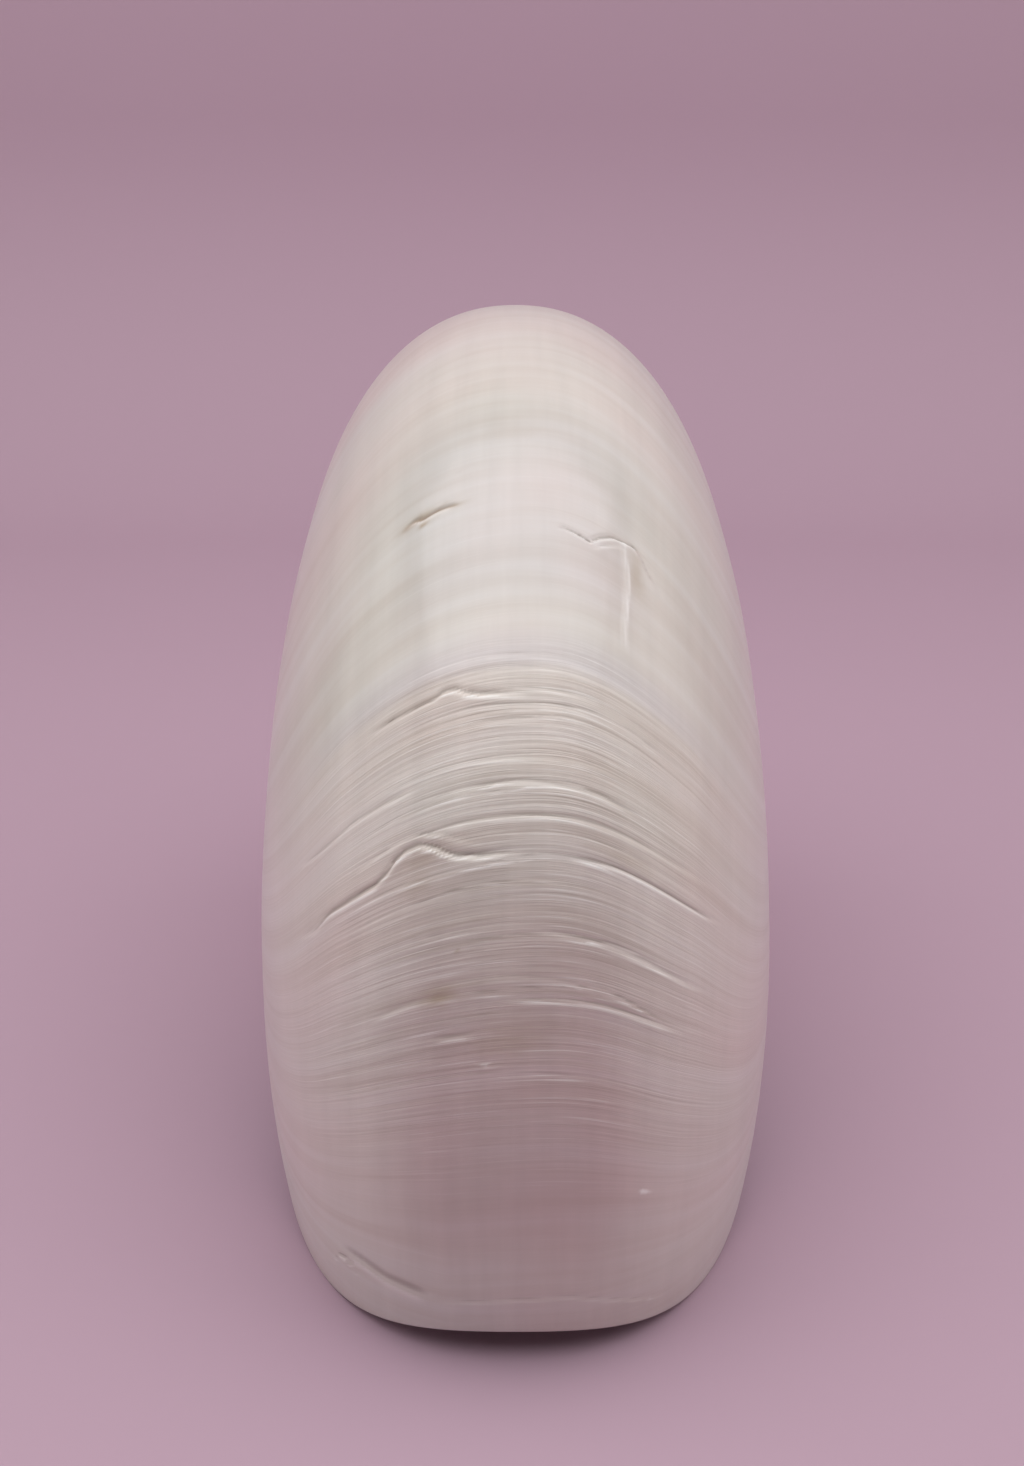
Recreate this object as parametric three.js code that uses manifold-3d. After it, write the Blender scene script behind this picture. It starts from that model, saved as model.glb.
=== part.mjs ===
// A polished nautilus shell standing on its aperture, in millimetres, +Z up.
//
// The shell is one piece: a wall that coils round a crosswise axis, open at the mouth. The living
// chamber behind the mouth ends at a dished septum with the siphuncle's small hole in it. The coil
// behind the septum is hollow too, and each older whorl stands inside the next. The front of the
// mouth's rim faces -Y, and the rim's two side lobes and the belly of the coil stand on z = 0.

import * as THREE from 'three';
import { mergeVertices } from 'three/addons/utils/BufferGeometryUtils.js';
import Module from 'manifold-3d';

const { exp, sin, cos, abs, sign, max, min, sqrt, PI } = Math;

// Driving dimensions
const RIM_RADIUS = 96; // from the coil's axis to the outer wall at the front of the rim
const WALL = 1.8; // wall thickness at the rim
const RIM_BEVEL = 0.5; // the rim's outer edge is blunted
const SEPTUM = 2.2; // thickness of the septum
const SIPHUNCLE_RADIUS = 2.4;
const PLUG_RADIUS = 9; // callus that closes the umbilicus on both sides
const PLUG_REACH = 14.5; // from the middle plane to the callus's outer end
const WORN_FLAT = 0.25; // depth to which the resting points are worn flat

// Growth of the coil, per radian back from the rim
const GROWTH = 0.179;
const GROWTH_LOST_AT_RIM = 0.097; // a full-grown shell widens less towards its rim
const GROWTH_FADE = 1.2;

// Cross-section of the coil, as shares of its radius
const BELLY_AT = 0.406; // distance from the axis at which the whorl is widest
const HALF_WIDTH = 0.396;
const WIDTH_LOST_AT_RIM = 0.09;
const WIDTH_FADE = 0.8;
const UMBILICUS_AT = 0.05;
const OUTER_SQUARENESS = 2.134; // superellipse exponent between the widest point and the outer wall
const OUTER_SQUARENESS_GAIN = 0.21; // added to it at the rim
const SQUARENESS_FADE = 1.2;
const INNER_SQUARENESS = 2.5; // exponent between the widest point and the umbilicus

// The rim and every growth line: how far each point leads the middle of the outer wall, in radians
const LOBE_LEAD = 0.225;
const LOBE_FROM = 1.294; // section angle at which the side lobe is reached
const NOTCH_LEAD = 0.07; // shallow notch between the side lobe and the umbilicus
const NOTCH_AT = 2.35;
const NOTCH_SPREAD = 0.35;

// Stretches of the coil, in radians back from the rim
const DEGREE = PI / 180;
const TURN = 2 * PI;
const SEPTUM_AT = 126 * DEGREE;
const SEPTUM_DISH = 0.3; // how far the septum's middle lies behind its edge
const DISH_CENTRE_AT = 0.64; // the septum's middle, as a share of the coil's radius
const COIL_END = 525 * DEGREE;
const HOLLOW_END = 650 * DEGREE;
const OLDER_FROM = 168 * DEGREE; // where the coil's second solid takes over from the first
const AHEAD_OF_RIM = -0.5; // cutting solids start this far in front of the rim

// Facets
const SIDES = 40; // round the outer section
const INSIDE_SIDES = 32; // round the living chamber
const HOLLOW_SIDES = 24; // round the hollow coil
const STEP = 8 * DEGREE; // along the last whorl
const INNER_STEP = 10 * DEGREE; // along the older whorls and the living chamber
const HOLLOW_STEP = 15 * DEGREE;
const DISH_RINGS = 5;

const wasm = await Module();
wasm.setup();

function growthLead(v) {
  const rise = 0.5 - 0.5 * cos(PI * min(abs(v) / LOBE_FROM, 1));
  const notch = exp(-(((abs(v) - NOTCH_AT) / NOTCH_SPREAD) ** 2));
  return LOBE_LEAD * rise - NOTCH_LEAD * notch;
}

function coilRadius(angle) {
  const slowed = GROWTH_FADE * (1 - exp(-max(angle, 0) / GROWTH_FADE)) + min(angle, 0);
  return RIM_RADIUS * exp(-GROWTH * angle + GROWTH_LOST_AT_RIM * slowed);
}

// Outer wall at an angle round the coil and an angle v round the section: v = 0 is the middle of
// the outer wall, and v = PI lies nearest the axis. Gives the distance from the axis, and x.
function sectionPoint(angle, v) {
  const age = max(angle + growthLead(v), 0);
  const outer = cos(v) > 0;
  const squareness = outer
    ? OUTER_SQUARENESS + OUTER_SQUARENESS_GAIN * exp(-age / SQUARENESS_FADE)
    : INNER_SQUARENESS;
  const halfWidth = HALF_WIDTH * (1 - WIDTH_LOST_AT_RIM * exp(-age / WIDTH_FADE));
  const along = abs(cos(v)) ** (2 / squareness);
  const across = abs(sin(v)) ** (2 / squareness);
  const from = outer ? BELLY_AT + (1 - BELLY_AT) * along : BELLY_AT - (BELLY_AT - UMBILICUS_AT) * along;
  const radius = coilRadius(angle);
  return { from: radius * from, x: radius * halfWidth * across * sign(sin(v)) };
}

// The same point, moved inwards by inset, square to the section
function insetPoint(angle, v, inset) {
  const point = sectionPoint(angle, v);
  if (inset === 0) return point;
  const small = 0.02;
  const a = sectionPoint(angle, v - small);
  const b = sectionPoint(angle, v + small);
  const alongFrom = b.from - a.from;
  const alongX = b.x - a.x;
  const length = sqrt(alongFrom ** 2 + alongX ** 2);
  return {
    from: point.from - (inset * alongX) / length,
    x: point.x + (inset * alongFrom) / length,
  };
}

// The wall thins with the size of the coil, and less fast
function wallAt(angle) {
  return WALL * sqrt(min(coilRadius(angle) / RIM_RADIUS, 1));
}

function place(angle, { from, x }) {
  return new THREE.Vector3(x, -from * cos(angle), from * sin(angle));
}

function sectionAngles(sides) {
  return Array.from({ length: sides }, (_, i) => -PI + (TURN * i) / sides);
}

// A ring of the outer wall along one growth line, or across the coil at one angle
function growthRing(age, inset = 0) {
  return sectionAngles(SIDES).map((v) => {
    const angle = age - growthLead(v);
    return place(angle, insetPoint(angle, v, inset));
  });
}

function crossRing(angle, sides, inset = 0) {
  return sectionAngles(sides).map((v) => place(angle, insetPoint(angle, v, inset)));
}

// Angles from start to finish, a step or slightly less apart
function angles(start, finish, step) {
  const count = Math.ceil((finish - start) / step - 1e-6);
  return Array.from({ length: count + 1 }, (_, i) => start + ((finish - start) * i) / count);
}

// A dish of shrinking rings: it starts as the inner wall's ring and bulges back along the coil
function dishRings(edge, sides) {
  const ringAt = (share) => {
    const angle = edge + SEPTUM_DISH * (1 - share ** 2);
    const middle = DISH_CENTRE_AT * coilRadius(edge);
    return sectionAngles(sides).map((v) => {
      const rim = insetPoint(edge, v, wallAt(edge));
      return place(angle, { from: middle + share * (rim.from - middle), x: share * rim.x });
    });
  };
  return Array.from({ length: DISH_RINGS }, (_, i) => ringAt(cos(((i + 1) * PI) / 2 / (DISH_RINGS + 1))));
}

// A closed solid from rings of equal length. Each end is closed by strips between mirrored points.
function tube(rings) {
  const sides = rings[0].length;
  const positions = rings.flat().flatMap((p) => [p.x, p.y, p.z]);
  const faces = [];
  const index = (ring, i) => ring * sides + (i % sides);
  for (let r = 0; r + 1 < rings.length; r++) {
    for (let i = 0; i < sides; i++) {
      faces.push(index(r, i), index(r, i + 1), index(r + 1, i + 1));
      faces.push(index(r, i), index(r + 1, i + 1), index(r + 1, i));
    }
  }
  const last = rings.length - 1;
  for (let i = 0; i < sides / 2; i++) {
    const corners = [i, i + 1, sides - i - 1, sides - i].map((c) => c % sides);
    for (const [a, b, c] of [[0, 1, 2], [0, 2, 3]]) {
      if (new Set([corners[a], corners[b], corners[c]]).size < 3) continue;
      faces.push(index(0, corners[c]), index(0, corners[b]), index(0, corners[a]));
      faces.push(index(last, corners[a]), index(last, corners[b]), index(last, corners[c]));
    }
  }
  const geometry = new THREE.BufferGeometry();
  geometry.setAttribute('position', new THREE.Float32BufferAttribute(positions, 3));
  geometry.setIndex(faces);
  return solidOf(geometry);
}

function solidOf(geometry) {
  const bare = geometry.clone();
  bare.deleteAttribute('normal');
  bare.deleteAttribute('uv');
  const merged = mergeVertices(bare, 1e-4);
  return new wasm.Manifold(new wasm.Mesh({
    numProp: 3,
    vertProperties: merged.attributes.position.array,
    triVerts: new Uint32Array(merged.index.array),
  }));
}

// The first solid of the coil runs from the rim, whose edge is blunt and square to the wall
function rimCoil() {
  const blunt = RIM_BEVEL / RIM_RADIUS;
  const walls = [blunt, ...angles(0, OLDER_FROM + STEP, STEP).slice(1)].map((age) => growthRing(age));
  return tube([growthRing(0, 2 * WALL), growthRing(0, RIM_BEVEL), ...walls]);
}

// The second one goes on from it along the older whorls, less than a full turn at a time
function olderCoil() {
  const lastWhorl = angles(OLDER_FROM, TURN, STEP);
  const olderWhorl = angles(TURN, COIL_END, INNER_STEP).slice(1);
  return tube([...lastWhorl, ...olderWhorl].map((age) => growthRing(age)));
}

// The living chamber: the hollow of the last whorl from the mouth to the septum, round the older coil
function chamberHollow() {
  const rings = angles(AHEAD_OF_RIM, SEPTUM_AT, INNER_STEP)
    .map((angle) => crossRing(angle, INSIDE_SIDES, wallAt(angle)));
  return tube([...rings, ...dishRings(SEPTUM_AT, INSIDE_SIDES)]).subtract(olderCoil());
}

// The coil behind the septum, hollow in two stretches: the second lies inside the first
function coilHollow() {
  const behind = SEPTUM_AT + SEPTUM / (DISH_CENTRE_AT * coilRadius(SEPTUM_AT));
  const handOver = SEPTUM_AT + TURN;
  const stretch = (start, finish) => angles(start, finish, HOLLOW_STEP)
    .map((angle) => crossRing(angle, HOLLOW_SIDES, wallAt(angle)));
  const front = dishRings(behind, HOLLOW_SIDES).reverse();
  const within = angles(behind + TURN - 4 * DEGREE, behind + 2 * TURN - 20 * DEGREE, HOLLOW_STEP)
    .map((angle) => crossRing(angle, HOLLOW_SIDES));
  return tube([...front, ...stretch(behind, handOver)])
    .subtract(tube(within))
    .add(tube(stretch(handOver - 8 * DEGREE, HOLLOW_END)));
}

function siphuncleHole() {
  const middle = SEPTUM_AT + SEPTUM_DISH;
  const geometry = new THREE.CylinderGeometry(SIPHUNCLE_RADIUS, SIPHUNCLE_RADIUS, 10, 12);
  const from = DISH_CENTRE_AT * coilRadius(SEPTUM_AT);
  geometry.rotateX(middle + PI);
  const at = place(middle, { from, x: 0 });
  geometry.translate(at.x, at.y, at.z);
  return solidOf(geometry);
}

// The callus in the umbilicus: a spindle on the axis with a shallow hollow in each end
function umbilicalPlug() {
  const end = (side) => [[0.0, 0.9], [0.35, 0.93], [0.62, 1.0], [0.84, 0.93], [1.0, 0.7]]
    .map(([r, y]) => new THREE.Vector2(r * PLUG_RADIUS, side * y * PLUG_REACH));
  const geometry = new THREE.LatheGeometry([...end(-1), ...end(1).reverse()], 28);
  geometry.rotateZ(PI / 2);
  return solidOf(geometry);
}

// Tilt that brings the rim's lobes and the coil's belly down to one level
function restingTilt() {
  const lowest = (points) => min(...points.map((p) => p));
  const height = (angle, tilt, from) => from * sin(angle - tilt);
  const difference = (tilt) => {
    const rim = sectionAngles(240).map((v) => {
      const angle = -growthLead(v);
      return height(angle, tilt, sectionPoint(angle, v).from);
    });
    const belly = angles(PI, TURN, DEGREE).map((angle) => height(angle, tilt, coilRadius(angle)));
    return lowest(rim) - lowest(belly);
  };
  let low = 0;
  let high = 1.2;
  for (let i = 0; i < 40; i++) {
    const middle = (low + high) / 2;
    if (difference(middle) > 0) low = middle;
    else high = middle;
  }
  return low;
}

// Turns the shell to its resting tilt and wears its resting points flat at z = 0, with the origin
// in the middle of its length
function standingGeometry(solid) {
  const mesh = solid.getMesh();
  const geometry = new THREE.BufferGeometry();
  geometry.setAttribute('position', new THREE.Float32BufferAttribute(mesh.vertProperties, 3));
  geometry.setIndex([...mesh.triVerts]);
  geometry.rotateX(restingTilt());
  geometry.computeBoundingBox();
  const { min: low, max: high } = geometry.boundingBox;
  geometry.translate(0, -(low.y + high.y) / 2, -low.z - WORN_FLAT);
  return geometry;
}

function wornFlat(geometry) {
  const size = 4 * RIM_RADIUS;
  const ground = new THREE.BoxGeometry(size, size, size);
  ground.translate(0, 0, -size / 2);
  const mesh = solidOf(geometry).subtract(solidOf(ground)).getMesh();
  const worn = new THREE.BufferGeometry();
  worn.setAttribute('position', new THREE.Float32BufferAttribute(mesh.vertProperties, 3));
  worn.setIndex([...mesh.triVerts]);
  return worn;
}

function shellMesh() {
  const plug = umbilicalPlug();
  const solid = rimCoil()
    .add(olderCoil())
    .add(plug)
    .subtract(chamberHollow().subtract(plug))
    .subtract(coilHollow().subtract(plug))
    .subtract(siphuncleHole());
  const nacre = new THREE.MeshStandardMaterial({ color: 0xded6cd, roughness: 0.35, metalness: 0 });
  const mesh = new THREE.Mesh(wornFlat(standingGeometry(solid)), nacre);
  mesh.name = 'shell';
  return mesh;
}

const nautilus = new THREE.Group();
nautilus.add(shellMesh());

export default nautilus;
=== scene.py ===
# A polished nautilus shell standing on its mouth, on a plain pale floor. Metres, +Z up.
#
# The shell is drawn again over its CAD solid from the same growth rule, in finer mesh, with the
# growth lines, healed breaks and creases of its outer wall raised and sunk in the surface.

import math

import bpy
import numpy as np
from mathutils import Matrix, Vector


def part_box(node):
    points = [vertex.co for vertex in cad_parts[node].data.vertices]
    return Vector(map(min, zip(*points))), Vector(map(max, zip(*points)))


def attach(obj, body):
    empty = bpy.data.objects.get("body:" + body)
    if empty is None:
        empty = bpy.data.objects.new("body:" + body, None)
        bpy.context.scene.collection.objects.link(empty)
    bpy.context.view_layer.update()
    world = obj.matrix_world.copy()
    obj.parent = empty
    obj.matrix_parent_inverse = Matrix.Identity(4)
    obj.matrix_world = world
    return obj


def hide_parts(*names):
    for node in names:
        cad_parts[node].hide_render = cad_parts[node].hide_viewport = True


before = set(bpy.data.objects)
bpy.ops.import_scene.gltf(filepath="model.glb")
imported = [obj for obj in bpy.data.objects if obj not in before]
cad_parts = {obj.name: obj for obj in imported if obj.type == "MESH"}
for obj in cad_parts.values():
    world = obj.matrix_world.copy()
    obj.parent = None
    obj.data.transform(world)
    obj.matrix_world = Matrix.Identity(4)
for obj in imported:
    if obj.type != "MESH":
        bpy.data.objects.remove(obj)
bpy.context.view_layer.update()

MM = 0.001
DEGREE = math.pi / 180
TURN = 2 * math.pi

# Sizes shared with the CAD solid
RIM_RADIUS = 0.096  # from the coil's axis to the outer wall at the front of the rim
WALL = 0.0018
SIPHUNCLE_RADIUS = 0.0024
PLUG_RADIUS = 0.009  # callus that closes the umbilicus on both sides
PLUG_REACH = 0.0145
WORN_FLAT = 0.00025

# Growth of the coil's radius with each radian, which slows down towards the rim
GROWTH = 0.179
GROWTH_LOST_AT_RIM = 0.097
GROWTH_FADE = 1.2

# A whorl's section: shares of the coil's radius there, and the powers of its rounded form
BELLY_AT = 0.406
HALF_WIDTH = 0.396
WIDTH_LOST_AT_RIM = 0.09
WIDTH_FADE = 0.8
UMBILICUS_AT = 0.05
OUTER_SQUARENESS = 2.134
OUTER_SQUARENESS_GAIN = 0.21
SQUARENESS_FADE = 1.2
INNER_SQUARENESS = 2.5

# The rim's side lobes, which lead, and the notches on their inner side, in radians
LOBE_LEAD = 0.225
LOBE_FROM = 1.294
NOTCH_LEAD = 0.07
NOTCH_AT = 2.35
NOTCH_SPREAD = 0.35

# Where the drawn growth lines leave the rim's own form
APEX_SHIFT = 0.05  # towards +X, round the section
APEX_SPREAD = 0.3
FLANK_DRIFT = 0.153
FLANK_FROM = 0.6
FLANK_AGES = (22, 80)  # degrees
RIM_DRIFT = 0.12
RIM_DRIFT_FROM = 0.2
RIM_DRIFT_AGES = (-30, 14)  # degrees

# The last septum, the siphuncle's hole in it and the oldest end of the coil
SEPTUM_AT = 126 * DEGREE
SEPTUM_DISH = 0.3
DISH_CENTRE_AT = 0.64
SIPHUNCLE_HALF_LENGTH = 0.006
SIPHUNCLE_SIDES = 32
COIL_END = 525  # degrees back from the rim

# The finer form of the drawn shell
RIM_ROUND = 0.0008  # radius of the rim's outer edge
SHARP_EDGE = 50 * DEGREE

# The camera, placed from the coil's axis
CAMERA_DISTANCE = 3.03 * RIM_RADIUS
CAMERA_ELEVATION = 23.4 * DEGREE
CAMERA_PITCH = 22.2 * DEGREE
PHOTO_SIZE = (1024, 1466)
FOCAL_PIXELS = 1800
CENTRE_COLUMN = 515.5
SENSOR_HEIGHT = 36  # millimetres


def growth_lead(v):
    """How far a growth line leads at v, round the section, over its place on the outer wall."""
    rise = 0.5 - 0.5 * np.cos(np.pi * np.minimum(np.abs(v) / LOBE_FROM, 1))
    notch = np.exp(-(((np.abs(v) - NOTCH_AT) / NOTCH_SPREAD) ** 2))
    return LOBE_LEAD * rise - NOTCH_LEAD * notch


def coil_radius(angle):
    """From the coil's axis to the outer wall."""
    slowed = GROWTH_FADE * (1 - np.exp(-np.maximum(angle, 0) / GROWTH_FADE)) + np.minimum(angle, 0)
    return RIM_RADIUS * np.exp(-GROWTH * angle + GROWTH_LOST_AT_RIM * slowed)


def squareness(age):
    """Power of the outer half of the section, squarer near the rim."""
    return OUTER_SQUARENESS + OUTER_SQUARENESS_GAIN * np.exp(-age / SQUARENESS_FADE)


def half_width(age):
    """Half the whorl's width as a share of the coil's radius, narrower near the rim."""
    return HALF_WIDTH * (1 - WIDTH_LOST_AT_RIM * np.exp(-age / WIDTH_FADE))


def section_point(angle, v):
    """Distance from the coil's axis, and x, of the outer wall."""
    age = np.maximum(angle + growth_lead(v), 0)
    outer = np.cos(v) > 0
    power = 2 / np.where(outer, squareness(age), INNER_SQUARENESS)
    along = np.abs(np.cos(v)) ** power
    across = np.abs(np.sin(v)) ** power
    reach = np.where(outer, 1 - BELLY_AT, UMBILICUS_AT - BELLY_AT)
    radius = coil_radius(angle)
    return radius * (BELLY_AT + reach * along), radius * half_width(age) * across * np.sign(np.sin(v))


def inset_point(angle, v, inset):
    """As section_point, but sunk square to the outer wall by inset."""
    step = 0.02
    away, x = section_point(angle, v)
    before = section_point(angle, v - step)
    after = section_point(angle, v + step)
    along_away = after[0] - before[0]
    along_x = after[1] - before[1]
    length = np.hypot(along_away, along_x)
    return away - inset * along_x / length, x + inset * along_away / length


def wall_at(angle):
    """Thickness of the wall, thinner where the shell was younger."""
    return WALL * np.sqrt(np.minimum(coil_radius(angle) / RIM_RADIUS, 1))


def place(angle, away, x):
    """The point at angle back from the rim, away from the coil's axis and x from the middle plane."""
    return np.stack([x, -away * np.cos(angle), away * np.sin(angle)], -1)


# What each corner of the mesh carries for the material: the growth age of the line through it in
# radians, painted light with wear, from -1 for painted shade in a groove to 1 for a painted highlight
# on crease edges and along the crack, where the pale nicks' wear adds too, and how stained it is,
# which also holds painted shade beside the crack and on the callus
SURFACE_VALUES = ("age", "wear_and_painted_light", "stain_and_shade")


def graded(*stretches):
    """Values through (start, finish, step) stretches that follow each other."""
    values = [np.linspace(a, b, max(1, round((b - a) / step)), endpoint=False) for a, b, step in stretches]
    return np.append(np.concatenate(values), stretches[-1][1])


# Fine rows along the coil and columns round the section, in degrees
RIM_ROWS = graded(
    (0.6, 9, 0.3), (9, 20, 0.45), (20, 57, 0.21), (57, 65, 0.6), (65, 72, 0.18), (72, 110, 0.9),
    (110, 168, 2.0),
)
SHARED_ROWS = graded((168, 176, 2))
OLDER_ROWS = graded((176, 360, 2.4), (360, COIL_END, 4.0))
COLUMNS = graded(
    (-180, -90, 4.5), (-90, -60, 2.3), (-60, -29, 1.5), (-29, -4, 0.7), (-4, 7, 1.4), (7, 27, 0.75),
    (27, 60, 1.4), (60, 90, 2.3), (90, 180, 4.5),
)[:-1] * DEGREE


def value_noise(a, b, seed):
    """Smooth noise between -1 and 1 over two coordinates, the same at every run."""
    cells = 64
    table = np.random.default_rng(seed).uniform(-1, 1, (cells, cells))
    ia = np.floor(a).astype(int)
    ib = np.floor(b).astype(int)
    fa = a - ia
    fb = b - ib
    fa = fa * fa * (3 - 2 * fa)
    fb = fb * fb * (3 - 2 * fb)
    row, next_row = ia % cells, (ia + 1) % cells
    column, next_column = ib % cells, (ib + 1) % cells
    low = table[row, column] * (1 - fb) + table[row, next_column] * fb
    high = table[next_row, column] * (1 - fb) + table[next_row, next_column] * fb
    return low * (1 - fa) + high * fa


def window(value, start, finish, fade):
    """1 between start and finish, fading smoothly to 0 outside."""
    rise = np.clip((value - start) / fade + 0.5, 0, 1)
    fall = np.clip((finish - value) / fade + 0.5, 0, 1)
    return (rise * rise * (3 - 2 * rise)) * (fall * fall * (3 - 2 * fall))


# Relief of the outer wall, in millimetres and degrees back from the rim
SWELL_HEIGHT = 0.12
BAND_HEIGHT = 0.025
LINE_HEIGHT = 0.012
CRACK_HEIGHT = 0.16
CRACK_WIDTH = 0.28
RELIEF_AGES = (-20, 170)
LINED_AGES = (19, 55)  # where the bands and lines stand out most
FLANK_SIDE = 21  # from the middle plane to where a flank begins
YOUNG_GROWTH = 0.11  # of the outer wall's radius with each radian, near the rim

# Form of a crease: heights as shares of its depth, the other values as shares of its width
LIP_SHARE = 0.6
GROOVE_SHARE = 0.45
GROOVE_AT = 0.7
GROOVE_SPREAD = 0.75
STEP_SPREAD = 0.2
EDGE_REACH = 0.8
LIP_REACH = 1.8  # millimetres, over which the lip falls off
# Here a worn edge means the painted highlight on a crease's edge, with painted shade in its groove; a
# crease this deep gets both in full
FULL_MARK_DEPTH = 0.3  # millimetres; a crease this deep has a fully worn edge
# Share of the painted highlight on a crease's edge, beside painted shade in the groove
EDGE_HIGHLIGHT_SHARE = 1.3  # beside 1 in the groove

# Healed breaks and growth checks: places across the shell in millimetres from its middle, the growth
# age there in degrees back from the rim, then depth and width in millimetres
CREASES = [
    ([-12.8, -12, -11, -9.3, -7.2], [70.6, 70.6, 70.2, 70.3, 70.2], 0.3, 0.55),
    ([5.5, 8.8, 10, 11.5, 14.5], [67.5, 66.9, 67.8, 68.6, 69.2], 0.55, 0.36),
    ([9, 10.6, 12.3], [66.4, 67.3, 68.1], 0.2, 0.25),
    ([13.6, 15, 16.8], [69.3, 68.6, 66.4], 0.15, 0.5),
    ([-15, -9, -3], [73.2, 73.2, 74.4], 0.1, 0.35),
    ([2, 10], [75.0, 74.2], 0.08, 0.3),
    ([-10, 0, 9], [59.1, 59.5, 59.6], 0.07, 0.25),
    ([-9, 0, 9], [55.2, 55.7, 55.5], 0.07, 0.25),
    ([-16, -12, -9.4, -8.2, -6.8, -5.5, -4, 0],
     [53.5, 53.3, 53.3, 53.6, 53.5, 53.0, 52.7, 52.5], 0.38, 0.4),
    ([4, 10, 18], [53.1, 52.8, 52.6], 0.11, 0.45),
    ([-4, 9], [47.5, 47.9], 0.12, 0.35),
    ([-25, -19, -12], [46.8, 47.3, 46.9], 0.22, 0.42),
    ([-8, 12], [45.8, 46.0], 0.16, 0.35),
    ([-10, -2, 6, 21], [43.2, 43.4, 43.7, 43.9], 0.19, 0.38),
    ([-18, -13, -11, -8.5, -5], [43.2, 43.6, 43.5, 42.9, 41.8], 0.16, 0.3),
    ([-24, -22, -16, -14.5, -13.6, -12.6, -10.8, -9.5, -8, -6.8, -4, -1.5],
     [40.2, 41.1, 41.2, 41.7, 42.3, 42.6, 42.6, 42.2, 41.5, 41.0, 40.7, 40.8], 0.5, 0.48),
    ([7, 12, 23], [40.9, 41.1, 41.1], 0.3, 0.38),
    ([3, 11, 21], [35.3, 35.1, 34.6], 0.22, 0.38),
    ([-9, 0, 9], [31.8, 32.0, 31.7], 0.12, 0.35),
    ([-16, -12, -7], [30.8, 31.0, 30.9], 0.2, 0.35),
    ([0, 10, 18], [30.3, 30.6, 30.4], 0.26, 0.4),
    ([-9, -5], [27.9, 27.8], 0.24, 0.3),
    ([-4.4, -2.2], [25.7, 25.6], 0.18, 0.3),
    ([14, 16.5], [15.8, 16.0], 0.2, 0.4),
    ([-21.5, -19, -16, -11], [8.2, 7.4, 5.9, 4.3], 0.24, 1.5),
    ([-23.6, -22.6, -21.2, -20.2], [5.4, 7.3, 7.2, 5.8], 0.35, 0.5),
    ([-8, 7, 18], [3.9, 4.6, 3.4], 0.16, 0.4),
]
CRACK_AT = 13.1  # millimetres right of the middle
CRACK_AGES = (58.5, 68.6)

# Fine growth lines beside the creases above, drawn at random in the same units
CHECKS = 130
CHECK_AGES = (21, 57)
CHECK_SPREAD = 11
CHECK_SIDE = 20
CHECK_REACHES = (5, 20)
CHECK_DEPTHS = (0.01, 0.05)
CHECK_WIDTHS = (0.2, 0.35)
CHECK_WANDER = 0.25
CHECK_FADE_FROM = 19  # at full strength ten degrees further on

# Stains, and a painted shadow beside the crack: growth age in degrees, millimetres from the middle, reach
# in each, strength
STAINS_AND_SHADOW = [
    (70.6, -11.6, 0.5, 1.9, 0.9),
    (70.3, -9.4, 0.4, 2.0, 0.5),
    (69.7, -11.0, 0.25, 0.5, 1.2),
    (70.2, -7.6, 0.25, 1.6, 0.7),
    # Painted shadow on the right of the crack
    (66.5, 14.3, 1.8, 0.8, 0.5),
    (78.0, -1.0, 1.6, 3.0, 0.12),
    (41.6, -10.6, 0.8, 2.2, 0.35),
    (39.8, -11.0, 0.7, 1.6, 0.3),
    (42.2, 12.5, 0.5, 3.5, 0.3),
    (34.3, -6.4, 0.15, 0.25, 1.0),
    (31.2, -8.7, 0.7, 1.7, 0.6),
    (28.4, 0.4, 1.5, 5.0, 0.22),
    (27.0, -1.0, 0.8, 3.5, 0.25),
]

# Small pale nicks: growth age in degrees, millimetres from the middle, reach in millimetres
NICKS = [(15.9, 15.2, 0.6), (3.5, 17.0, 0.5), (25.7, -3.2, 0.8)]
NICK_LENGTH = 0.25  # degrees
NICK_STRENGTH = 0.55


def crease_profile(off, width):
    """Groove on the older side of a crease, and lip and painted-highlight edge on its younger side, 0 to 1
    each.
    """
    groove = np.exp(-(((off - GROOVE_AT * width) / (GROOVE_SPREAD * width)) ** 2))
    younger = 1 / (1 + np.exp(np.clip(off / (STEP_SPREAD * width), -30, 30)))
    lip = younger * np.exp(np.minimum(off, 0) / LIP_REACH)
    edge = younger * np.exp(np.minimum(off, 0) / (EDGE_REACH * width))
    return groove, lip, edge


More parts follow.
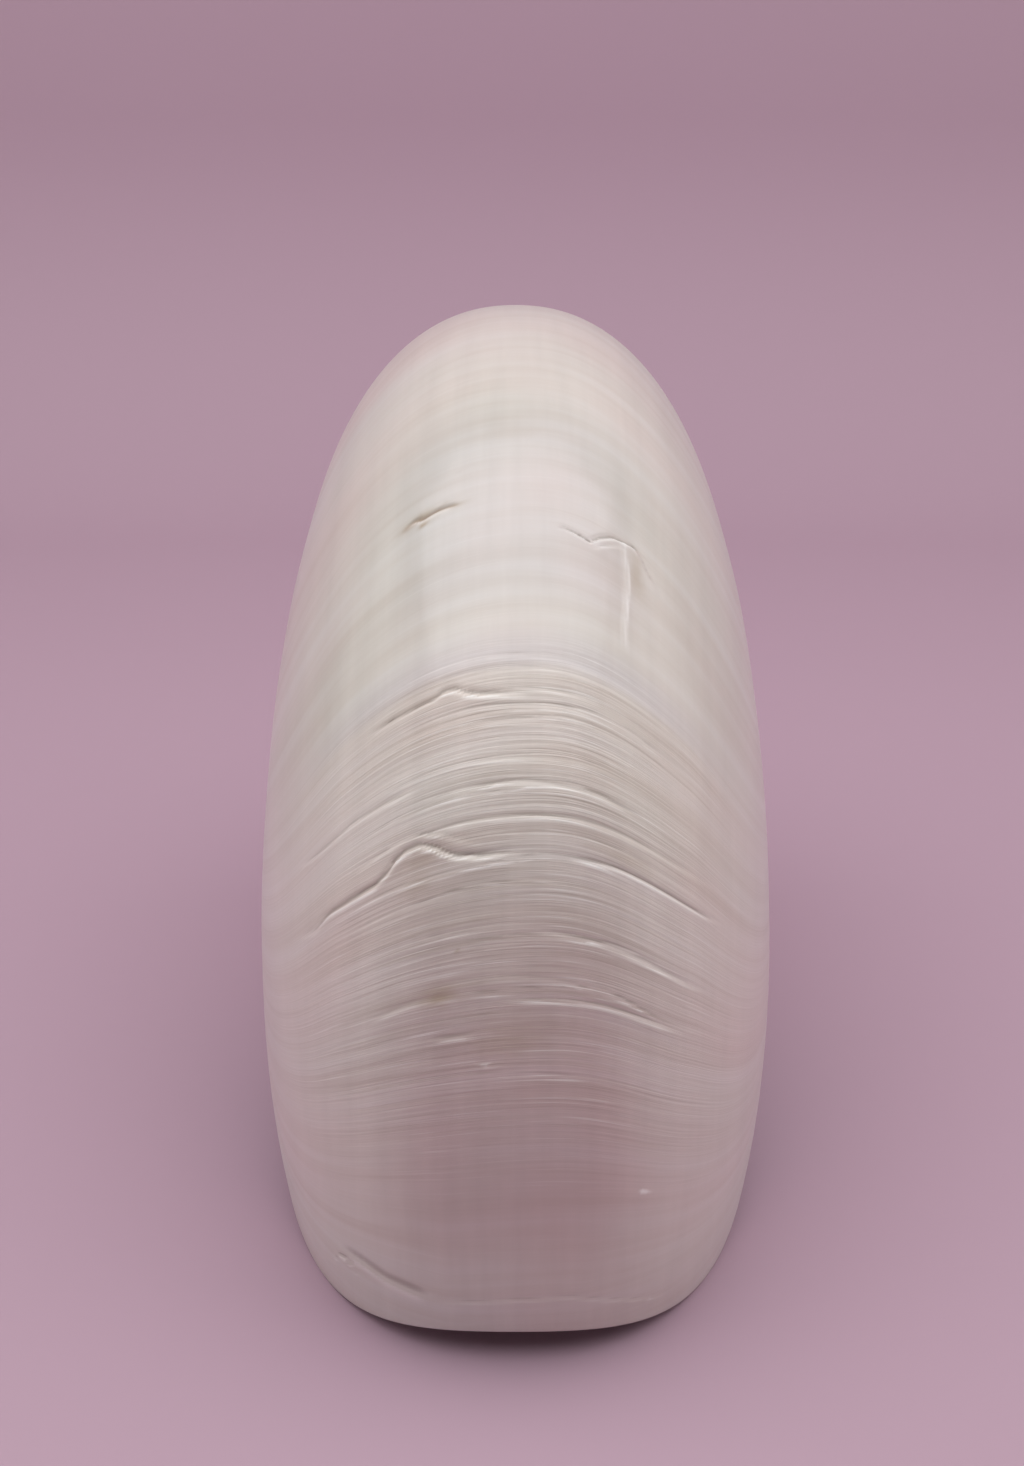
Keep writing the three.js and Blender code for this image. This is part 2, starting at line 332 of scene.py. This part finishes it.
def crease_relief(age, drawn_age, x):
    """Height in millimetres, and painted light from -1 for painted shade in a groove to 1 for a painted
    highlight on an edge.

    Ages are in degrees and x in millimetres.
    """
    relief = np.zeros_like(age)
    wear_and_painted_light = np.zeros_like(age)
    millimetres = RIM_RADIUS / MM * DEGREE * np.exp(-YOUNG_GROWTH * age * DEGREE)

    def add(off, fade, depth, width, mark_strength):
        """Adds a crease that lies off millimetres away."""
        groove, lip, edge = crease_profile(off, width)
        relief[...] += depth * fade * (LIP_SHARE * lip - GROOVE_SHARE * groove)
        # Painted shade in the groove and a painted highlight on the edge
        wear_and_painted_light[...] += mark_strength * fade * (EDGE_HIGHLIGHT_SHARE * edge - groove)

    for across, ages, depth, width in CREASES:
        off = (age - np.interp(x, across, ages)) * millimetres
        taper = 1.2 + 0.2 * (across[-1] - across[0])
        fade = window(x, across[0], across[-1], taper)
        add(off, fade, depth, width, min(depth / FULL_MARK_DEPTH, 1))
    draw = np.random.default_rng(23)
    for _ in range(CHECKS):
        line = draw.uniform(*CHECK_AGES)
        middle = draw.normal(0, CHECK_SPREAD)
        reach = draw.uniform(*CHECK_REACHES)
        depth = draw.uniform(*CHECK_DEPTHS)
        width = draw.uniform(*CHECK_WIDTHS)
        wander = CHECK_WANDER * value_noise(x / 6 + line, 0 * x + line, seed=31)
        fade = window(x, middle - reach, middle + reach, reach)
        fade *= window(x, -CHECK_SIDE, CHECK_SIDE, CHECK_SIDE)
        fade *= min(1, (line - CHECK_FADE_FROM) / 10)
        # Fine checks get painted groove shade and painted edge highlights too, by their depth
        add((drawn_age - line + wander) * millimetres, fade, depth, width, 10 * depth)
    return relief, np.clip(wear_and_painted_light, -1, 1)


def stain_and_shade_at(age, x):
    """How stained the outer wall is, with the painted shadow beside the crack; age in degrees, x in
    millimetres.
    """
    ragged = 1 + 0.5 * value_noise(age * 3, x * 1.3, seed=41)
    stain_and_shade = np.zeros_like(age)
    for middle, across, reach, reach_across, strength in STAINS_AND_SHADOW:
        away = ((age - middle) / reach) ** 2 + ((x - across) / reach_across) ** 2
        stain_and_shade += strength * np.exp(-away * ragged)
    return np.clip(stain_and_shade, 0, 1)


def nick_at(age, x):
    """Wear of the small pale nicks; age in degrees, x in millimetres."""
    mark_strength = np.zeros_like(age)
    for middle, across, reach in NICKS:
        away = ((age - middle) / NICK_LENGTH) ** 2 + ((x - across) / reach) ** 2
        mark_strength += NICK_STRENGTH * np.exp(-away)
    return mark_strength


def line_drift(age, v):
    """What a drawn growth line's age gains over the rim's form; radians."""
    degrees = age / DEGREE
    shift = APEX_SHIFT * np.exp(-((v / APEX_SPREAD) ** 2))
    apex = growth_lead(v - shift) - growth_lead(v)
    past_crest = np.clip(np.abs(v) - FLANK_FROM, 0, 1.2) ** 1.5
    past_middle = np.clip(np.abs(v) - RIM_DRIFT_FROM, 0, 0.9)
    flank = FLANK_DRIFT * past_crest * window(degrees, *FLANK_AGES, 30)
    rim = RIM_DRIFT * past_middle * window(degrees, *RIM_DRIFT_AGES, 14)
    return apex + flank - rim


def wall_relief(age, drawn_age, x):
    """Height of the outer wall over its smooth form in metres, and its painted light with wear: painted
    shade and highlights at the creases, a painted highlight along the crack and the nicks' wear; ages in
    radians.
    """
    degrees = age / DEGREE
    drawn = drawn_age / DEGREE
    side = x / MM
    warp = 0.6 * value_noise(drawn / 9, side / 11 + 7, seed=3)
    flank = 1 - window(side, -FLANK_SIDE, FLANK_SIDE, 14)
    lined = (0.06 + 0.94 * window(degrees, *LINED_AGES, 5)) * (1 - 0.6 * flank)
    young = window(degrees, *RELIEF_AGES, 40)
    bands = BAND_HEIGHT * value_noise((drawn + warp) / 2.3, side / 30 + 3, seed=5)
    lines = LINE_HEIGHT * value_noise((drawn + warp) / 0.8, side / 14 + 9, seed=11)
    swells = SWELL_HEIGHT * value_noise(degrees / 14, side / 26 + 5, seed=17)
    creases, wear_and_painted_light = crease_relief(degrees, drawn, side)
    crack_off = (side - CRACK_AT - 0.2 * np.sin(degrees * 0.7)) / CRACK_WIDTH
    crack = np.exp(-(crack_off**2)) * window(degrees, *CRACK_AGES, 3)
    fine = (bands + lines) * lined + creases + CRACK_HEIGHT * crack
    # Painted highlight along the crack, and the pale nicks' wear
    wear_and_painted_light = np.clip(wear_and_painted_light + 0.6 * crack + nick_at(degrees, side), -1, 1)
    return MM * (fine * young + swells * young), wear_and_painted_light


def grid_normals(points):
    """Outward normals of the wall at the points of a grid, growth rows by columns."""
    along = np.gradient(points, axis=0)
    round_section = np.roll(points, -1, axis=1) - np.roll(points, 1, axis=1)
    normals = np.cross(round_section, along)
    length = np.linalg.norm(normals, axis=-1, keepdims=True)
    return normals / np.maximum(length, 1e-12)


def growth_rings(ages):
    """Rows of the outer wall along growth lines, with their relief and surface values."""
    age = np.asarray(ages)[:, None] * DEGREE + 0 * COLUMNS[None, :]
    v = COLUMNS[None, :]
    angle = age - growth_lead(v)
    away, x = section_point(angle, v)
    points = place(angle, away, x)
    drawn_age = age + line_drift(age, v)
    relief, wear_and_painted_light = wall_relief(age, drawn_age, x)
    outside = np.clip(np.cos(v) + 0.6, 0, 1)
    points = points + grid_normals(points) * (relief * outside)[..., None]
    return points, {"age": drawn_age, "wear_and_painted_light": wear_and_painted_light * outside, "stain_and_shade": stain_and_shade_at(age / DEGREE, x / MM)}


def rim_rings():
    """The blunt edge of the rim, from the hollow side round to the outer wall."""
    rings = []
    for turn in (0, 25, 50, 75):
        inset = RIM_ROUND * (1 - math.sin(turn * DEGREE))
        age = RIM_ROUND * (1 - math.cos(turn * DEGREE)) / RIM_RADIUS
        angle = age - growth_lead(COLUMNS)
        rings.append(place(angle, *inset_point(angle, COLUMNS, inset)))
    angle = -growth_lead(COLUMNS)
    return [place(angle, *inset_point(angle, COLUMNS, 2 * WALL))] + rings


def tube(name, rings, values=None):
    """A closed object from rings of points, with a point in the middle of each end.

    values holds a number for each ring point under each name, kept at the mesh's corners.
    """
    rings = np.asarray(rings)
    rows, sides, _ = rings.shape
    points = np.concatenate([rings.reshape(-1, 3), rings[0].mean(0)[None], rings[-1].mean(0)[None]])
    i = np.arange(sides)
    j = (i + 1) % sides
    r = np.arange(rows - 1)[:, None] * sides
    quads = np.stack([r + i, r + j, r + sides + j, r + sides + i], -1).reshape(-1, 4)
    last = (rows - 1) * sides
    first_end = np.stack([j, i, np.full(sides, rows * sides)], -1)
    last_end = np.stack([last + i, last + j, np.full(sides, rows * sides + 1)], -1)
    faces = quads.tolist() + first_end.tolist() + last_end.tolist()
    piece = new_object(name, points, faces)
    corner_vertex = np.empty(len(piece.data.loops), int)
    piece.data.loops.foreach_get("vertex_index", corner_vertex)
    for label in SURFACE_VALUES:
        value = np.zeros((rows, sides)) + (values or {}).get(label, 0.0)
        value = np.concatenate([value.ravel(), [value[0].mean(), value[-1].mean()]])
        layer = piece.data.attributes.new(label, "FLOAT", "CORNER")
        layer.data.foreach_set("value", value[corner_vertex].astype(np.float32))
    return piece


def new_object(name, points, faces):
    """A mesh object in the scene."""
    mesh = bpy.data.meshes.new(name)
    mesh.from_pydata(points.tolist(), [], faces)
    mesh.update()
    piece = bpy.data.objects.new(name, mesh)
    bpy.context.scene.collection.objects.link(piece)
    return piece


def combine(target, tool, operation):
    """Joins tool to target, or cuts it out of target."""
    modifier = target.modifiers.new(operation, "BOOLEAN")
    modifier.operation = operation
    modifier.object = tool
    modifier.solver = "MANIFOLD"
    bpy.context.view_layer.update()
    evaluated = target.evaluated_get(bpy.context.evaluated_depsgraph_get())
    mesh = bpy.data.meshes.new_from_object(evaluated)
    target.modifiers.clear()
    target.data = mesh
    return target


# Rows and columns of the hollow, and how far the drawn growth age rises over the septum's dish
HOLLOW_SIDES = 96
HOLLOW_ROWS = 56
DISH_ROWS = 17
DISH_AGES = 0.4

# The callus: shares of its radius, and of its reach there, for a dished middle and a rounded lip
CALLUS_DISH = [(0.1, 0.762), (0.2, 0.771), (0.3, 0.786), (0.4, 0.808), (0.5, 0.835), (0.6, 0.869)]
CALLUS_LIP = [(0.7, 0.89), (0.8, 0.883), (0.88, 0.842), (0.95, 0.78), (1.0, 0.7)]
CALLUS_SHOWN = 0.62  # share of its radius that lies open
CALLUS_SIDES = 96
CALLUS_MIDDLE_AGE = 2.4
# Darker tone of the callus: partly its own colour, partly painted shade of the umbilical funnel
CALLUS_TONE_AND_SHADE = 0.08


def older_coil():
    """The older whorls, from where the rim's coil ends back to the first chamber."""
    return tube("older coil", *growth_rings(np.concatenate([SHARED_ROWS, OLDER_ROWS[1:]])))


def rim_coil():
    """The youngest part of the coil, behind the rim."""
    walls, values = growth_rings(np.concatenate([RIM_ROWS[:-1], SHARED_ROWS]))
    edge = rim_rings()
    values = {name: np.concatenate([0 * value[: len(edge)], value]) for name, value in values.items()}
    return tube("shell", np.concatenate([edge, walls]), values)


def chamber_hollow():
    """The living chamber as a solid to cut away, ending in the dish of the last septum."""
    in_front_of_rim = -0.5
    v = np.linspace(-math.pi, math.pi, HOLLOW_SIDES, endpoint=False)
    angles = np.linspace(in_front_of_rim, SEPTUM_AT, HOLLOW_ROWS)
    rings = [place(angle, *inset_point(angle, v, wall_at(angle))) for angle in angles]
    ages = [angle + growth_lead(v) for angle in angles]
    middle = DISH_CENTRE_AT * coil_radius(SEPTUM_AT)
    away, x = inset_point(SEPTUM_AT, v, wall_at(SEPTUM_AT))
    for turn in np.linspace(5, 85, DISH_ROWS):
        share = math.cos(turn * DEGREE)
        angle = SEPTUM_AT + SEPTUM_DISH * (1 - share**2)
        rings.append(place(angle, middle + share * (away - middle), share * x))
        ages.append(SEPTUM_AT + DISH_AGES * (1 - share) + 0 * v)
    return tube("chamber", rings, {"age": np.array(ages)})


def umbilical_plug():
    """The callus in the umbilicus, dished at each end, with growth lines that swirl into its middle."""
    profile = CALLUS_DISH + CALLUS_LIP
    ends = [(-reach, radius) for radius, reach in profile]
    ends += [(reach, radius) for radius, reach in reversed(profile)]
    turn = np.linspace(0, TURN, CALLUS_SIDES, endpoint=False)
    circle = np.stack([0 * turn, np.cos(turn), np.sin(turn)], -1) * PLUG_RADIUS
    out = np.array([PLUG_REACH, 0, 0])
    age_around = np.mod(math.pi - turn + LOBE_LEAD, TURN)
    rings = []
    ages = []
    for reach, radius in ends:
        rings.append(radius * circle + reach * out)
        swirl = min(radius / CALLUS_SHOWN, 1) ** 2
        ages.append(CALLUS_MIDDLE_AGE + (age_around - CALLUS_MIDDLE_AGE) * swirl)
    return tube("plug", rings, {"age": np.array(ages), "stain_and_shade": CALLUS_TONE_AND_SHADE})


def siphuncle():
    """A short rod through the septum, for the hole of the siphuncle."""
    middle = SEPTUM_AT + SEPTUM_DISH
    centre = place(middle, DISH_CENTRE_AT * coil_radius(SEPTUM_AT), 0.0)
    along = np.array([0, math.sin(middle), math.cos(middle)])
    side = np.array([1.0, 0, 0])
    up = np.cross(along, side)
    turn = np.linspace(0, TURN, SIPHUNCLE_SIDES, endpoint=False)[:, None]
    ring = SIPHUNCLE_RADIUS * (np.cos(turn) * side + np.sin(turn) * up)
    reach = SIPHUNCLE_HALF_LENGTH * along
    return tube("siphuncle", [centre + ring - reach, centre + ring + reach])


def resting_tilt():
    """Tilt that brings the rim's lobes and the coil's belly down to one level."""
    v = np.linspace(-math.pi, math.pi, 240, endpoint=False)
    rim_angle = -growth_lead(v)
    rim_away = section_point(rim_angle, v)[0]
    belly = np.linspace(math.pi, TURN, 181)
    low = 0.0
    high = 1.2
    for _ in range(40):
        tilt = (low + high) / 2
        rim = np.min(rim_away * np.sin(rim_angle - tilt))
        coil = np.min(coil_radius(belly) * np.sin(belly - tilt))
        low, high = (tilt, high) if rim > coil else (low, tilt)
    return low


def build_shell():
    """The whole shell: coils and callus joined, then the living chamber and siphuncle cut out."""
    older = older_coil()
    plug = umbilical_plug()
    cut = combine(combine(chamber_hollow(), older, "DIFFERENCE"), plug, "DIFFERENCE")
    shell = combine(combine(rim_coil(), older, "UNION"), plug, "UNION")
    hole = siphuncle()
    combine(combine(shell, cut, "DIFFERENCE"), hole, "DIFFERENCE")
    for tool in (older, plug, cut, hole):
        bpy.data.objects.remove(tool)
    return shell


def stand(piece):
    """Turns the shell to its resting tilt and wears its resting points flat at z = 0.

    Gives the place of the coil's axis.
    """
    tilt = resting_tilt()
    piece.data.transform(Matrix.Rotation(tilt, 4, "X"))
    low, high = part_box("shell")
    co = np.array([vertex.co for vertex in piece.data.vertices])
    shift = Vector((0, (low.y + high.y - co[:, 1].min() - co[:, 1].max()) / 2, -co[:, 2].min() - WORN_FLAT))
    piece.data.transform(Matrix.Translation(shift))
    co = np.array([vertex.co for vertex in piece.data.vertices])
    co[:, 2] = np.maximum(co[:, 2], 0)
    piece.data.vertices.foreach_set("co", co.astype(np.float32).ravel())
    piece.data.update()
    return shift


# Colours of the nacre. A ramp's stops are values of its noise; the masks further down go by growth age
# in radians and by the distance from the middle plane in metres.
CREAM_BANDS = [(0.3, (0.66, 0.60, 0.535)), (0.5, (0.70, 0.65, 0.59)), (0.7, (0.73, 0.69, 0.64))]
# Brown of the stains, also of the painted shadow beside the crack and the callus's painted shade
STAIN_AND_SHADE_BROWN = (0.36, 0.27, 0.17)
# Painted shade in the crease grooves
PAINTED_GROOVE_SHADE = (0.22, 0.17, 0.14)
# Pale of the nicks' wear and of the painted highlights on crease edges and the crack
PALE_WEAR_AND_HIGHLIGHT = (0.96, 0.94, 0.92)
PALE_LINE = (0.88, 0.85, 0.82)

# Tints that multiply them. The clouds are the nacre's own; the young wall's pink and mauve are painted
# reflections of the pink floor and of dark surroundings, the lilac is a painted fringe at the lower edge of
# the overhead lamp's reflection, and the grey is painted shade in the middle of that reflection
CLOUD_TINTS = [(0.35, (1.0, 0.955, 0.965)), (0.5, (0.99, 0.99, 1.0)), (0.66, (0.955, 0.99, 0.985))]
PAINTED_FLOOR_PINK = (1.0, 0.95, 0.97)
PAINTED_DARK_REFLECTION = (0.87, 0.80, 0.82)
PAINTED_FRINGE_LILAC = (0.95, 0.96, 1.02)
PAINTED_HIGHLIGHT_SHADE = (0.92, 0.91, 0.95)
DARK_LINE = (0.86, 0.84, 0.82)
DULL_STROKE = (0.9, 0.9, 0.9)
UNTINTED = (1.0, 1.0, 1.0)

# The floor and the lamps
BACKDROP = (0.48, 0.335, 0.415)
FILL_COLOUR = (1.0, 0.95, 0.92)
ROOM_GLOW = (0.9, 0.64, 0.72, 1)
ROOM_GLOW_STRENGTH = 0.025


def link(tree, source, target):
    tree.links.new(source, target)


def math_node(tree, operation, a, b=None):
    """One step of arithmetic on sockets or numbers."""
    node = tree.nodes.new("ShaderNodeMath")
    node.operation = operation
    for socket, value in zip(node.inputs, (a, b)):
        if value is None:
            continue
        if isinstance(value, (int, float)):
            socket.default_value = value
        else:
            link(tree, value, socket)
    return node.outputs[0]


def growth_noise(tree, age, x, per_radian, per_metre, detail, roughness=0.55):
    """Noise drawn out along the growth lines."""
    place_node = tree.nodes.new("ShaderNodeCombineXYZ")
    link(tree, math_node(tree, "MULTIPLY", age, per_radian), place_node.inputs[0])
    link(tree, math_node(tree, "MULTIPLY", x, per_metre), place_node.inputs[1])
    noise = tree.nodes.new("ShaderNodeTexNoise")
    noise.inputs["Scale"].default_value = 1
    noise.inputs["Detail"].default_value = detail
    noise.inputs["Roughness"].default_value = roughness
    link(tree, place_node.outputs[0], noise.inputs["Vector"])
    return noise.outputs["Fac"]


def ramp(tree, factor, stops):
    """Colour at factor between (position, colour) stops."""
    node = tree.nodes.new("ShaderNodeValToRGB")
    elements = node.color_ramp.elements
    while len(elements) < len(stops):
        elements.new(0.5)
    for element, (position, colour) in zip(elements, stops):
        element.position = position
        element.color = (*colour, 1)
    link(tree, factor, node.inputs[0])
    return node.outputs[0]


def mix_colour(tree, factor, a, b, blend="MIX"):
    """Mix of two sockets or colours, with factor as the share of the second."""
    node = tree.nodes.new("ShaderNodeMix")
    node.data_type = "RGBA"
    node.blend_type = blend
    for socket, value in zip((node.inputs[0], node.inputs[6], node.inputs[7]), (factor, a, b)):
        if isinstance(value, (int, float)):
            socket.default_value = value
        elif isinstance(value, tuple):
            socket.default_value = (*value, 1)
        else:
            link(tree, value, socket)
    return node.outputs[2]


def read_attribute(tree, name):
    """A value that the mesh's corners carry."""
    node = tree.nodes.new("ShaderNodeAttribute")
    node.attribute_name = name
    return node.outputs["Fac"]


def surface_x(tree):
    """Place across the shell's middle plane, in metres."""
    coordinates = tree.nodes.new("ShaderNodeTexCoord")
    parts = tree.nodes.new("ShaderNodeSeparateXYZ")
    link(tree, coordinates.outputs["Object"], parts.inputs[0])
    return parts.outputs[0]


def between(tree, value, low, high):
    """0 where value is low or less, 1 where it is high or more."""
    node = tree.nodes.new("ShaderNodeMapRange")
    node.interpolation_type = "SMOOTHSTEP"
    node.inputs["From Min"].default_value = low
    node.inputs["From Max"].default_value = high
    link(tree, value, node.inputs["Value"])
    return node.outputs[0]


def product(tree, first, *factors):
    """The product of sockets, or of sockets and a number."""
    for factor in factors:
        first = math_node(tree, "MULTIPLY", first, factor)
    return first


def tinted(tree, colour, share, tint):
    """The colour multiplied by a tint, as far as share says."""
    return mix_colour(tree, share, colour, tint, "MULTIPLY")


def lined_share(tree, age, flank):
    """How strongly growth lines show: most on the young outer wall, less on the flanks."""
    young_wall = product(tree, between(tree, age, 0.2, 0.5), between(tree, age, 1.02, 0.93))
    off_flank = math_node(tree, "SUBTRACT", 0.85, product(tree, flank, 0.65))
    return math_node(tree, "ADD", product(tree, young_wall, off_flank), 0.12)


def nacre_colour(tree, age, x, flank):
    """Creamy bands along the growth lines under soft clouds, with painted reflections: pink from the floor
    on the young wall and darker mauve on its middle, a lilac fringe and grey shade in the lamp's
    reflection.
    """
    bands = ramp(tree, growth_noise(tree, age, x, per_radian=26, per_metre=22, detail=3), CREAM_BANDS)
    clouds = ramp(tree, growth_noise(tree, age, x, per_radian=2.6, per_metre=28, detail=2), CLOUD_TINTS)
    middle = between(tree, math_node(tree, "ABSOLUTE", x), 0.019, 0.008)
    young = product(tree, between(tree, age, 0.07, 0.28), between(tree, age, 0.85, 0.5))
    reflection_fringe = product(tree, between(tree, age, 0.95, 0.97), between(tree, age, 1.03, 0.98))
    highlight_shade = product(tree, between(tree, age, 1.0, 1.12), between(tree, age, 1.5, 1.3), middle)
    colour = tinted(tree, bands, 1.0, clouds)
    # Painted pink floor reflection on the young wall
    colour = tinted(tree, colour, young, PAINTED_FLOOR_PINK)
    # Painted darker reflection on the young wall's middle
    colour = tinted(tree, colour, product(tree, young, middle), PAINTED_DARK_REFLECTION)
    off_flank = math_node(tree, "SUBTRACT", 1, flank)
    # Painted lilac fringe along the lower edge of the lamp's reflection, off the flanks
    colour = tinted(tree, colour, product(tree, reflection_fringe, off_flank), PAINTED_FRINGE_LILAC)
    # Painted shade in the middle of the lamp's reflection
    return tinted(tree, colour, highlight_shade, PAINTED_HIGHLIGHT_SHADE)


def growth_line_colour(tree, colour, age, x, lined):
    """Thin dark and pale growth lines, and faint strokes of polishing across them."""
    lines = growth_noise(tree, age, x, per_radian=150, per_metre=40, detail=3)
    strokes = growth_noise(tree, age, x, per_radian=2.5, per_metre=420, detail=3)
    streaks = growth_noise(tree, age, x, per_radian=330, per_metre=60, detail=2)
    dark = ramp(tree, lines, [(0.32, DARK_LINE), (0.5, UNTINTED)])
    dull = ramp(tree, strokes, [(0.3, DULL_STROKE), (0.7, UNTINTED)])
    colour = tinted(tree, colour, lined, dark)
    colour = tinted(tree, colour, 0.6, dull)
    thread = product(tree, between(tree, streaks, 0.58, 0.7), lined, 0.5)
    return mix_colour(tree, thread, colour, PALE_LINE)


def stains_wear_and_painted_light(tree, colour):
    """Brown stains, with painted shadow beside the crack and on the callus; painted shade in the grooves;
    pale nicks and painted highlights on crease edges and the crack.
    """
    wear_and_painted_light = read_attribute(tree, "wear_and_painted_light")
    # Stains, the painted shadow beside the crack and the callus's painted shade
    stain_and_shade_share = product(tree, read_attribute(tree, "stain_and_shade"), 0.85)
    # Painted shade in the grooves
    groove = product(tree, between(tree, wear_and_painted_light, -0.15, -0.9), 0.5)
    # Painted highlight on crease edges and the crack, and the pale nicks
    edge = product(tree, between(tree, wear_and_painted_light, 0.1, 0.8), 0.8)
    colour = mix_colour(tree, stain_and_shade_share, colour, STAIN_AND_SHADE_BROWN)
    colour = mix_colour(tree, groove, colour, PAINTED_GROOVE_SHADE)
    return mix_colour(tree, edge, colour, PALE_WEAR_AND_HIGHLIGHT)


def pearl_material():
    """Polished mother of pearl: creamy, satin, with growth lines, healed breaks and faint stains, and
    painted light: painted reflections and shade on the young wall and in the lamp's reflection, painted
    shade in grooves and painted highlights on crease edges.
    """
    material = bpy.data.materials.new("pearl")
    material.use_nodes = True
    tree = material.node_tree
    shader = tree.nodes["Principled BSDF"]
    age = read_attribute(tree, "age")
    x = surface_x(tree)
    flank = between(tree, math_node(tree, "ABSOLUTE", x), 0.014, 0.03)
    lined = lined_share(tree, age, flank)
    colour = nacre_colour(tree, age, x, flank)
    colour = growth_line_colour(tree, colour, age, x, lined)
    link(tree, stains_wear_and_painted_light(tree, colour), shader.inputs["Base Color"])

    shader.inputs["Roughness"].default_value = 0.3
    shader.inputs["IOR"].default_value = 1.55
    shader.inputs["Subsurface Weight"].default_value = 0.12
    shader.inputs["Subsurface Radius"].default_value = (1.0, 0.75, 0.7)
    shader.inputs["Subsurface Scale"].default_value = 0.0015
    shader.inputs["Coat Weight"].default_value = 0.25
    shader.inputs["Coat Roughness"].default_value = 0.12
    shader.inputs["Sheen Weight"].default_value = 0.08

    fine = growth_noise(tree, age, x, per_radian=230, per_metre=35, detail=4, roughness=0.65)
    bump = tree.nodes.new("ShaderNodeBump")
    bump.inputs["Strength"].default_value = 0.4
    bump.inputs["Distance"].default_value = 0.0003
    link(tree, product(tree, fine, lined), bump.inputs["Height"])
    link(tree, bump.outputs[0], shader.inputs["Normal"])
    return material


def plain_material(name, colour, roughness):
    """A dull material in one colour."""
    material = bpy.data.materials.new(name)
    material.use_nodes = True
    shader = material.node_tree.nodes["Principled BSDF"]
    shader.inputs["Base Color"].default_value = (*colour, 1)
    shader.inputs["Roughness"].default_value = roughness
    shader.inputs["Specular IOR Level"].default_value = 0.25
    return material


def studio():
    """A pale sweep that runs up behind the shell."""
    front = 2.5
    depth = 0.42
    bend = 0.12
    height = 1.6
    width = 4.0
    profile = [(-front, 0.0), (depth - bend, 0.0)]
    for turn in np.linspace(0, 90, 13)[1:] * DEGREE:
        profile.append((depth - bend + bend * math.sin(turn), bend * (1 - math.cos(turn))))
    profile.append((depth, height))
    points = np.array([(x, y, z) for y, z in profile for x in (-width / 2, width / 2)])
    faces = [(2 * i, 2 * i + 1, 2 * i + 3, 2 * i + 2) for i in range(len(profile) - 1)]
    floor = new_object("floor", points, faces)
    floor.data.materials.append(plain_material("backdrop", BACKDROP, roughness=0.7))
    for face in floor.data.polygons:
        face.use_smooth = True


def soft_light(name, position, target, size, watts, colour=(1, 1, 1)):
    """A flat lamp, size wide and deep in metres, turned to the target."""
    data = bpy.data.lights.new(name, "AREA")
    data.shape = "RECTANGLE"
    data.size, data.size_y = size
    data.energy = watts
    data.color = colour
    lamp = bpy.data.objects.new(name, data)
    bpy.context.scene.collection.objects.link(lamp)
    lamp.location = position
    lamp.rotation_euler = (Vector(target) - Vector(position)).to_track_quat("-Z", "Y").to_euler()


def lights(axis):
    """A wide lamp overhead, in front of the shell, with a weak fill on each side and a faint room glow."""
    above = (0, axis.y - 0.21, 0.75)
    target = (0, axis.y - 0.1, 0.05)
    soft_light("overhead", above, target, size=(1.15, 0.85), watts=7.2)
    for side in (-1, 1):
        beside = (0.8 * side, axis.y - 0.12, 0.32)
        soft_light("side fill", beside, tuple(axis), size=(0.8, 0.8), watts=2.1, colour=FILL_COLOUR)
    world = bpy.data.worlds.new("studio")
    world.use_nodes = True
    world.node_tree.nodes["Background"].inputs["Color"].default_value = ROOM_GLOW
    world.node_tree.nodes["Background"].inputs["Strength"].default_value = ROOM_GLOW_STRENGTH
    bpy.context.scene.world = world
    bpy.context.scene.view_settings.view_transform = "Standard"


def camera(axis):
    """Looks down at the outer curve from in front, as in the photograph."""
    data = bpy.data.cameras.new("camera")
    data.sensor_fit = "VERTICAL"
    data.sensor_height = SENSOR_HEIGHT
    data.lens = SENSOR_HEIGHT * FOCAL_PIXELS / PHOTO_SIZE[1]
    data.shift_x = (PHOTO_SIZE[0] / 2 - CENTRE_COLUMN) / PHOTO_SIZE[1]
    data.clip_start = 0.01
    lens = bpy.data.objects.new("camera", data)
    bpy.context.scene.collection.objects.link(lens)
    back = Vector((0, -math.cos(CAMERA_ELEVATION), math.sin(CAMERA_ELEVATION)))
    lens.location = axis + CAMERA_DISTANCE * back
    lens.rotation_euler = (math.pi / 2 - CAMERA_PITCH, 0, 0)
    bpy.context.scene.camera = lens


shell = build_shell()
axis = stand(shell)
for face in shell.data.polygons:
    face.use_smooth = True
shell.data.set_sharp_from_angle(angle=SHARP_EDGE)
shell.data.materials.clear()
shell.data.materials.append(pearl_material())
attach(shell, "root")
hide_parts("shell")

studio()
lights(axis)
camera(axis)
